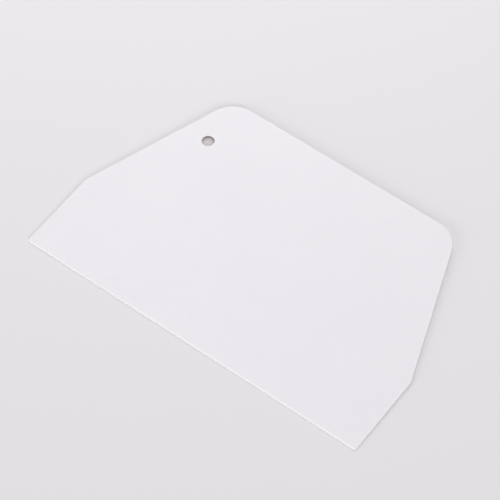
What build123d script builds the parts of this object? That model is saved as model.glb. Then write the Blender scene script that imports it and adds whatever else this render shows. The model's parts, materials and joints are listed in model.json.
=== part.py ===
"""Bench scraper: a flat, one-piece moulded plate with a straight working edge and a hanging hole.

Millimetres. The origin is the middle of the plate's footprint on its resting face, +X runs along
the working edge, +Y from the working edge to the back edge, and +Z is up. The underside is flat;
the upper face rises evenly from the thin working edge to the thicker back.
"""

import os

from build123d import *

# Driving dimensions
EDGE_LENGTH = 152.4  # working edge, tip to tip
HEIGHT = 99.6  # working edge to back edge
BACK_WIDTH = 106.0  # back edge, between the corners before they are rounded
SHOULDER_HEIGHT = 35.4  # the sides stand square to the working edge up to here, then lean in
EDGE_THICKNESS = 0.6  # at the working edge
BACK_THICKNESS = 1.6  # at the back edge

BACK_CORNER_RADIUS = 12.0
SHOULDER_RADIUS = 2.0
TIP_RADIUS = 0.5
EDGE_BREAK = 0.15  # rounding of both faces' edges, all round the outline

HOLE_DIAMETER = 4.8
HOLE_FROM_MIDDLE = 49.5  # hole axis, to the left of the middle
HOLE_FROM_BACK = 21.5  # hole axis, in from the back edge
TOP_RIM_RADIUS = 0.5
BOTTOM_RIM_RADIUS = 0.2

# Places worked out from them
TIP_X = EDGE_LENGTH / 2
TIP_Y = -HEIGHT / 2
SHOULDER_Y = TIP_Y + SHOULDER_HEIGHT
BACK_X = BACK_WIDTH / 2
BACK_Y = HEIGHT / 2
HOLE_X = -HOLE_FROM_MIDDLE
HOLE_Y = BACK_Y - HOLE_FROM_BACK

os.makedirs("parts", exist_ok=True)

with BuildPart() as scraper_plate:
    # Outline: square-sided beside the working edge, then tapering to the narrower back
    with BuildSketch() as outline:
        with BuildLine():
            Polyline(
                (-TIP_X, TIP_Y),
                (TIP_X, TIP_Y),
                (TIP_X, SHOULDER_Y),
                (BACK_X, BACK_Y),
                (-BACK_X, BACK_Y),
                (-TIP_X, SHOULDER_Y),
                close=True,
            )
        make_face()
        fillet(outline.vertices().group_by(Axis.Y)[-1], BACK_CORNER_RADIUS)
        fillet(outline.vertices().group_by(Axis.Y)[1], SHOULDER_RADIUS)
        fillet(outline.vertices().group_by(Axis.Y)[0], TIP_RADIUS)
    extrude(amount=BACK_THICKNESS)

    # Side view: the wedge that slopes the upper face down to the working edge
    with BuildSketch(Plane.YZ):
        with BuildLine():
            Polyline(
                (TIP_Y, 0),
                (BACK_Y, 0),
                (BACK_Y, BACK_THICKNESS),
                (TIP_Y, EDGE_THICKNESS),
                close=True,
            )
        make_face()
    extrude(amount=TIP_X, both=True, mode=Mode.INTERSECT)
    broad_faces = scraper_plate.faces().sort_by(SortBy.AREA)[-2:]
    fillet(broad_faces.edges(), EDGE_BREAK)

    # Hanging hole, straight through near the left back corner, with both rims rounded
    with Locations((HOLE_X, HOLE_Y, BACK_THICKNESS)):
        Hole(HOLE_DIAMETER / 2)
    hole_edges = scraper_plate.edges(Select.LAST).sort_by(Axis.Z)
    fillet(hole_edges[-1], TOP_RIM_RADIUS)
    fillet(hole_edges[0], BOTTOM_RIM_RADIUS)

scraper_plate.part.label = "scraper_plate"
export_step(scraper_plate.part, "parts/scraper_plate.step")
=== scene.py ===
"""Looks of the bench scraper: a one-piece white polypropylene plate lying on a pale worktop.

Metres, in the CAD frame: +X along the working edge, +Y towards the back edge, +Z up. The CAD node
already has the plate's true shape, so it stays, and gets a moulded-plastic material here.
"""

import json
import math

import bpy
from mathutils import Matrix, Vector


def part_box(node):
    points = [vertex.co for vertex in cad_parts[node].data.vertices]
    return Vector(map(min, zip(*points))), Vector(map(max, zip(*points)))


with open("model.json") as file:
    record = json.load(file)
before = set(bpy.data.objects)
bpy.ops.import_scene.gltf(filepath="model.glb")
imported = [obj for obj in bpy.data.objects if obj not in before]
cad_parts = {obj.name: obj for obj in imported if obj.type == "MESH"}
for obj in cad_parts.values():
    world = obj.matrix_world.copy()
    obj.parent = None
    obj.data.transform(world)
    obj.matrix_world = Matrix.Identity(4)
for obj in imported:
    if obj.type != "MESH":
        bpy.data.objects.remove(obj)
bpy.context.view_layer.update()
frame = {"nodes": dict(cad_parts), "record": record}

MM = 0.001
plate = frame["nodes"]["scraper_plate"]
plate_low, plate_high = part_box("scraper_plate")
hanging_hole = next(mount for mount in frame["record"]["mounts"] if mount["name"] == "hanging_hole")
hole_centre = Vector(hanging_hole["pos_m"])
hole_radius = hanging_hole["dims"]["r_mm"] * MM

# Outline of the plate, as the CAD model has it
SHOULDER_HEIGHT = 35.4 * MM
BACK_WIDTH = 106.0 * MM

# Camera: a long lens looking down on the plate from beyond its right front corner
CAMERA_AZIMUTH = math.radians(36.74)
CAMERA_ELEVATION = math.radians(55.86)
CAMERA_DISTANCE = 0.9255
CAMERA_AIM = Vector((-6.1, -2.6, 0.0)) * MM
CAMERA_LENS_MM = 175.6
SENSOR_MM = 36.0
CLIP_START = 0.01

# Square soft lamps: name, azimuth from the camera's side and elevation in degrees, distance and
# size in metres, power in watts
LAMPS = (
    ("back", -174.0, 32.0, 0.9, 0.5, 2.9),
    ("overhead", 180.0, 75.0, 0.9, 0.5, 0.7),
    ("front_right", 30.0, 24.0, 4.0, 1.6, 66.0),
    ("front_left", -60.0, 14.0, 4.0, 1.6, 66.0),
)
STUDIO_BRIGHTNESS = 0.485

# Colours, linear
PLASTIC_WHITE = (0.836, 0.820, 0.850)
PLASTIC_SHADE = (0.803, 0.787, 0.819)
# Painted shade: a dark brown-grey on the hole's wall stands in for the shade inside the hole
HOLE_PAINTED_SHADE = (0.33, 0.255, 0.225)
FLOOR_COLOUR = (0.78, 0.765, 0.785)
LAMP_COLOUR = (1.0, 0.995, 1.0)

# Floor
FLOOR_HALF_SIZE = 2.0
FLOOR_ROUGHNESS = 0.7

# Scratches: angle from +X in degrees, width, length, and how thickly they lie, from 0 to 1
SCRATCHES = (
    (84.0, 0.16 * MM, 16.0 * MM, 0.27),
    (6.0, 0.13 * MM, 24.0 * MM, 0.26),
    (-38.0, 0.12 * MM, 9.0 * MM, 0.25),
    (55.0, 0.14 * MM, 13.0 * MM, 0.25),
)
SCRATCH_SOFTNESS = 0.04
USED_DEPTH = 45.0 * MM  # how far in from the working edge the plate is scratched most

# Relief of the plastic: size across, and height
GRAIN_SIZE = 0.25 * MM
GRAIN_HEIGHT = 0.009 * MM
WAVE_SIZE = 16.0 * MM
WAVE_HEIGHT = 0.025 * MM
SCRATCH_DEPTH = 0.006 * MM


# ---- Camera, light and floor ----


def direction(azimuth, elevation):
    """Unit vector from the plate towards a viewer or lamp; azimuth 0 is in front, 90 degrees at +X."""
    flat = math.cos(elevation)
    return Vector((math.sin(azimuth) * flat, -math.cos(azimuth) * flat, math.sin(elevation)))


def aim_at(thing, target):
    """Turns a camera or lamp so that it looks at the target."""
    thing.rotation_euler = (target - thing.location).to_track_quat("-Z", "Y").to_euler()


def add_camera():
    data = bpy.data.cameras.new("camera")
    data.lens = CAMERA_LENS_MM
    data.sensor_width = SENSOR_MM
    data.clip_start = CLIP_START
    camera = bpy.data.objects.new("camera", data)
    camera.location = CAMERA_AIM + direction(CAMERA_AZIMUTH, CAMERA_ELEVATION) * CAMERA_DISTANCE
    aim_at(camera, CAMERA_AIM)
    bpy.context.scene.collection.objects.link(camera)
    bpy.context.scene.camera = camera


def add_lamp(name, azimuth, elevation, distance, size, power):
    data = bpy.data.lights.new(name, "AREA")
    data.size = size
    data.energy = power
    data.color = LAMP_COLOUR
    lamp = bpy.data.objects.new(name, data)
    lamp.location = direction(CAMERA_AZIMUTH + math.radians(azimuth), math.radians(elevation)) * distance
    aim_at(lamp, Vector((0.0, 0.0, 0.0)))
    bpy.context.scene.collection.objects.link(lamp)


def add_lights():
    """Soft overall light, lamps behind and above the plate, and low lamps in front that light its edges."""
    for lamp in LAMPS:
        add_lamp(*lamp)
    world = bpy.data.worlds.new("studio")
    world.use_nodes = True
    background = world.node_tree.nodes["Background"]
    background.inputs["Color"].default_value = (*LAMP_COLOUR, 1.0)
    background.inputs["Strength"].default_value = STUDIO_BRIGHTNESS
    bpy.context.scene.world = world
    bpy.context.scene.view_settings.view_transform = "Standard"


def add_floor():
    half = FLOOR_HALF_SIZE
    mesh = bpy.data.meshes.new("floor")
    corners = [(-half, -half, 0.0), (half, -half, 0.0), (half, half, 0.0), (-half, half, 0.0)]
    mesh.from_pydata(corners, [], [(0, 1, 2, 3)])
    floor = bpy.data.objects.new("floor", mesh)
    bpy.context.scene.collection.objects.link(floor)
    material = bpy.data.materials.new("floor_paint")
    material.use_nodes = True
    shader = material.node_tree.nodes["Principled BSDF"]
    shader.inputs["Base Color"].default_value = (*FLOOR_COLOUR, 1.0)
    shader.inputs["Roughness"].default_value = FLOOR_ROUGHNESS
    floor.data.materials.append(material)


# ---- Node helpers ----


def set_socket(tree, socket, value):
    """Feeds a socket from another socket, or gives it a plain value."""
    if isinstance(value, bpy.types.NodeSocket):
        tree.links.new(value, socket)
    else:
        socket.default_value = value


def add_node(tree, kind, inputs=None, **settings):
    """Adds a node; inputs gives its sockets either values or the sockets that feed them."""
    node = tree.nodes.new(kind)
    for name, value in settings.items():
        setattr(node, name, value)
    for key, value in (inputs or {}).items():
        set_socket(tree, node.inputs[key], value)
    return node


def maths(tree, operation, first, second=0.0):
    return add_node(tree, "ShaderNodeMath", {0: first, 1: second}, operation=operation).outputs[0]


def total(tree, terms):
    """Sum of value times weight over a list of such pairs."""
    result = maths(tree, "MULTIPLY", *terms[0])
    for value, weight in terms[1:]:
        result = maths(tree, "ADD", maths(tree, "MULTIPLY", value, weight), result)
    return result


def noise(tree, position, size, detail):
    """Soft noise from 0 to 1, averaging 0.5, whose blotches are about size metres across."""
    inputs = {"Vector": position, "Scale": 1.0 / size, "Detail": detail}
    return add_node(tree, "ShaderNodeTexNoise", inputs).outputs["Fac"]


def ramp(tree, value, start, end, low=0.0, high=1.0):
    """Runs smoothly from low, where value is at start, to high, where it is at end."""
    inputs = {"Value": value, "From Min": start, "From Max": end, "To Min": low, "To Max": high}
    return add_node(tree, "ShaderNodeMapRange", inputs, interpolation_type="SMOOTHSTEP").outputs["Result"]


def blend_colours(tree, factor, first, second):
    """Colour that goes from first to second as factor goes from 0 to 1."""
    mix = add_node(tree, "ShaderNodeMix", data_type="RGBA")
    sockets = {socket.identifier: socket for socket in mix.inputs}
    set_socket(tree, sockets["Factor_Float"], factor)
    set_socket(tree, sockets["A_Color"], first)
    set_socket(tree, sockets["B_Color"], second)
    return next(socket for socket in mix.outputs if socket.identifier == "Result_Color")


# ---- The plate's plastic ----


def plate_distances(tree, position):
    """Distances in metres from a point on the plate to its outline, its working edge and its hole's wall."""
    parts = add_node(tree, "ShaderNodeSeparateXYZ", {"Vector": position}).outputs
    across = maths(tree, "ABSOLUTE", parts["X"])
    to_working_edge = maths(tree, "SUBTRACT", parts["Y"], plate_low.y)
    to_back = maths(tree, "SUBTRACT", plate_high.y, parts["Y"])
    to_side = maths(tree, "SUBTRACT", plate_high.x, across)
    # The leaning side runs from the shoulder to the back corner; its normal points outwards
    shoulder = Vector((plate_high.x, plate_low.y + SHOULDER_HEIGHT))
    back_corner = Vector((BACK_WIDTH / 2, plate_high.y))
    along = (back_corner - shoulder).normalized()
    outwards = Vector((along.y, -along.x))
    reach = total(tree, [(across, outwards.x), (parts["Y"], outwards.y)])
    to_leaning_side = maths(tree, "SUBTRACT", outwards.dot(shoulder), reach)
    to_ends = maths(tree, "MINIMUM", to_working_edge, to_back)
    to_sides = maths(tree, "MINIMUM", to_side, to_leaning_side)
    to_outline = maths(tree, "MINIMUM", to_ends, to_sides)
    # The hole's axis is upright, so height doesn't count
    level = add_node(tree, "ShaderNodeCombineXYZ", {"X": parts["X"], "Y": parts["Y"]}).outputs["Vector"]
    measure = {0: level, 1: (hole_centre.x, hole_centre.y, 0.0)}
    from_axis = add_node(tree, "ShaderNodeVectorMath", measure, operation="DISTANCE").outputs["Value"]
    return to_outline, to_working_edge, maths(tree, "SUBTRACT", from_axis, hole_radius)


def hairlines(tree, position, angle, width, length, thickly):
    """Straight scratches that run one way: 1 in a scratch and 0 beside it."""
    turn = {"Vector": position, "Rotation": (0.0, 0.0, math.radians(angle))}
    turned = add_node(tree, "ShaderNodeMapping", turn, vector_type="TEXTURE").outputs["Vector"]
    squash = {0: turned, 1: (width / length, 1.0, 1.0)}
    squashed = add_node(tree, "ShaderNodeVectorMath", squash, operation="MULTIPLY").outputs["Vector"]
    threshold = 1.0 - thickly
    return ramp(tree, noise(tree, squashed, width, 0.0), threshold, threshold + SCRATCH_SOFTNESS)


def scuffs(tree, position, to_working_edge):
    """Scratches all over the plate, strongest where it has been pushed along a worktop."""
    lines = hairlines(tree, position, *SCRATCHES[0])
    for scratch in SCRATCHES[1:]:
        lines = maths(tree, "MAXIMUM", lines, hairlines(tree, position, *scratch))
    used = ramp(tree, to_working_edge, 0.0, USED_DEPTH, 1.0, 0.3)
    return maths(tree, "MULTIPLY", lines, used)


def plate_material():
    """White polypropylene: satin, a little translucent, finely textured by its mould and lightly used."""
    material = bpy.data.materials.new("white_polypropylene")
    material.use_nodes = True
    tree = material.node_tree
    shader = tree.nodes["Principled BSDF"]
    position = add_node(tree, "ShaderNodeTexCoord").outputs["Object"]
    to_outline, to_working_edge, to_hole = plate_distances(tree, position)
    to_edge = maths(tree, "MINIMUM", to_outline, to_hole)
    scratched = scuffs(tree, position, to_working_edge)
    flow = noise(tree, position, 30.0 * MM, 2.0)
    smears = ramp(tree, noise(tree, position, 7.0 * MM, 3.0), 0.5, 0.7)
    rubbed = ramp(tree, to_edge, 0.1 * MM, 0.8 * MM, 1.0, 0.0)
    polished = ramp(tree, to_hole, 0.3 * MM, 0.7 * MM, 1.0, 0.0)
    hole_wall_shade_mask = ramp(tree, to_hole, 0.02 * MM, 0.12 * MM, 1.0, 0.0)

    # Colour: a cool white, a shade darker in the scuffs and where the melt flowed unevenly
    shade = total(tree, [(flow, 0.6), (smears, 0.12), (scratched, 0.9), (rubbed, -0.35)])
    colour = blend_colours(tree, shade, (*PLASTIC_WHITE, 1.0), (*PLASTIC_SHADE, 1.0))
    # The hole's wall gets painted shade, dark brown-grey, which also darkens the floor seen through the hole
    colour = blend_colours(tree, hole_wall_shade_mask, colour, (*HOLE_PAINTED_SHADE, 1.0))
    tree.links.new(colour, shader.inputs["Base Color"])

    # Sheen: satin, duller in the scuffs and along the edges, and glossy on the hole's rim
    satin = ramp(tree, flow, 0.3, 0.7, 0.42, 0.48)
    wear = [(scratched, 0.1), (smears, -0.03), (rubbed, 0.12), (polished, -0.35)]
    tree.links.new(total(tree, [(satin, 1.0)] + wear), shader.inputs["Roughness"])

    # Relief: the mould's fine texture, a faint waviness, and the scuffs cut into it
    grain = noise(tree, position, GRAIN_SIZE, 1.0)
    waves = noise(tree, position, WAVE_SIZE, 1.0)
    height = total(tree, [(grain, GRAIN_HEIGHT), (waves, WAVE_HEIGHT), (scratched, -SCRATCH_DEPTH)])
    # The edges and the hole's rim stay smooth
    height = maths(tree, "MULTIPLY", height, ramp(tree, to_edge, 0.3 * MM, 0.8 * MM))
    relief = add_node(tree, "ShaderNodeBump", {"Height": height, "Distance": 1.0, "Strength": 1.0})
    tree.links.new(relief.outputs["Normal"], shader.inputs["Normal"])

    shader.inputs["IOR"].default_value = 1.49
    shader.inputs["Subsurface Weight"].default_value = 0.5
    shader.inputs["Subsurface Radius"].default_value = (1.0, 1.0, 1.0)
    shader.inputs["Subsurface Scale"].default_value = 0.6 * MM
    return material


add_camera()
add_lights()
add_floor()
plate.data.materials[0] = plate_material()
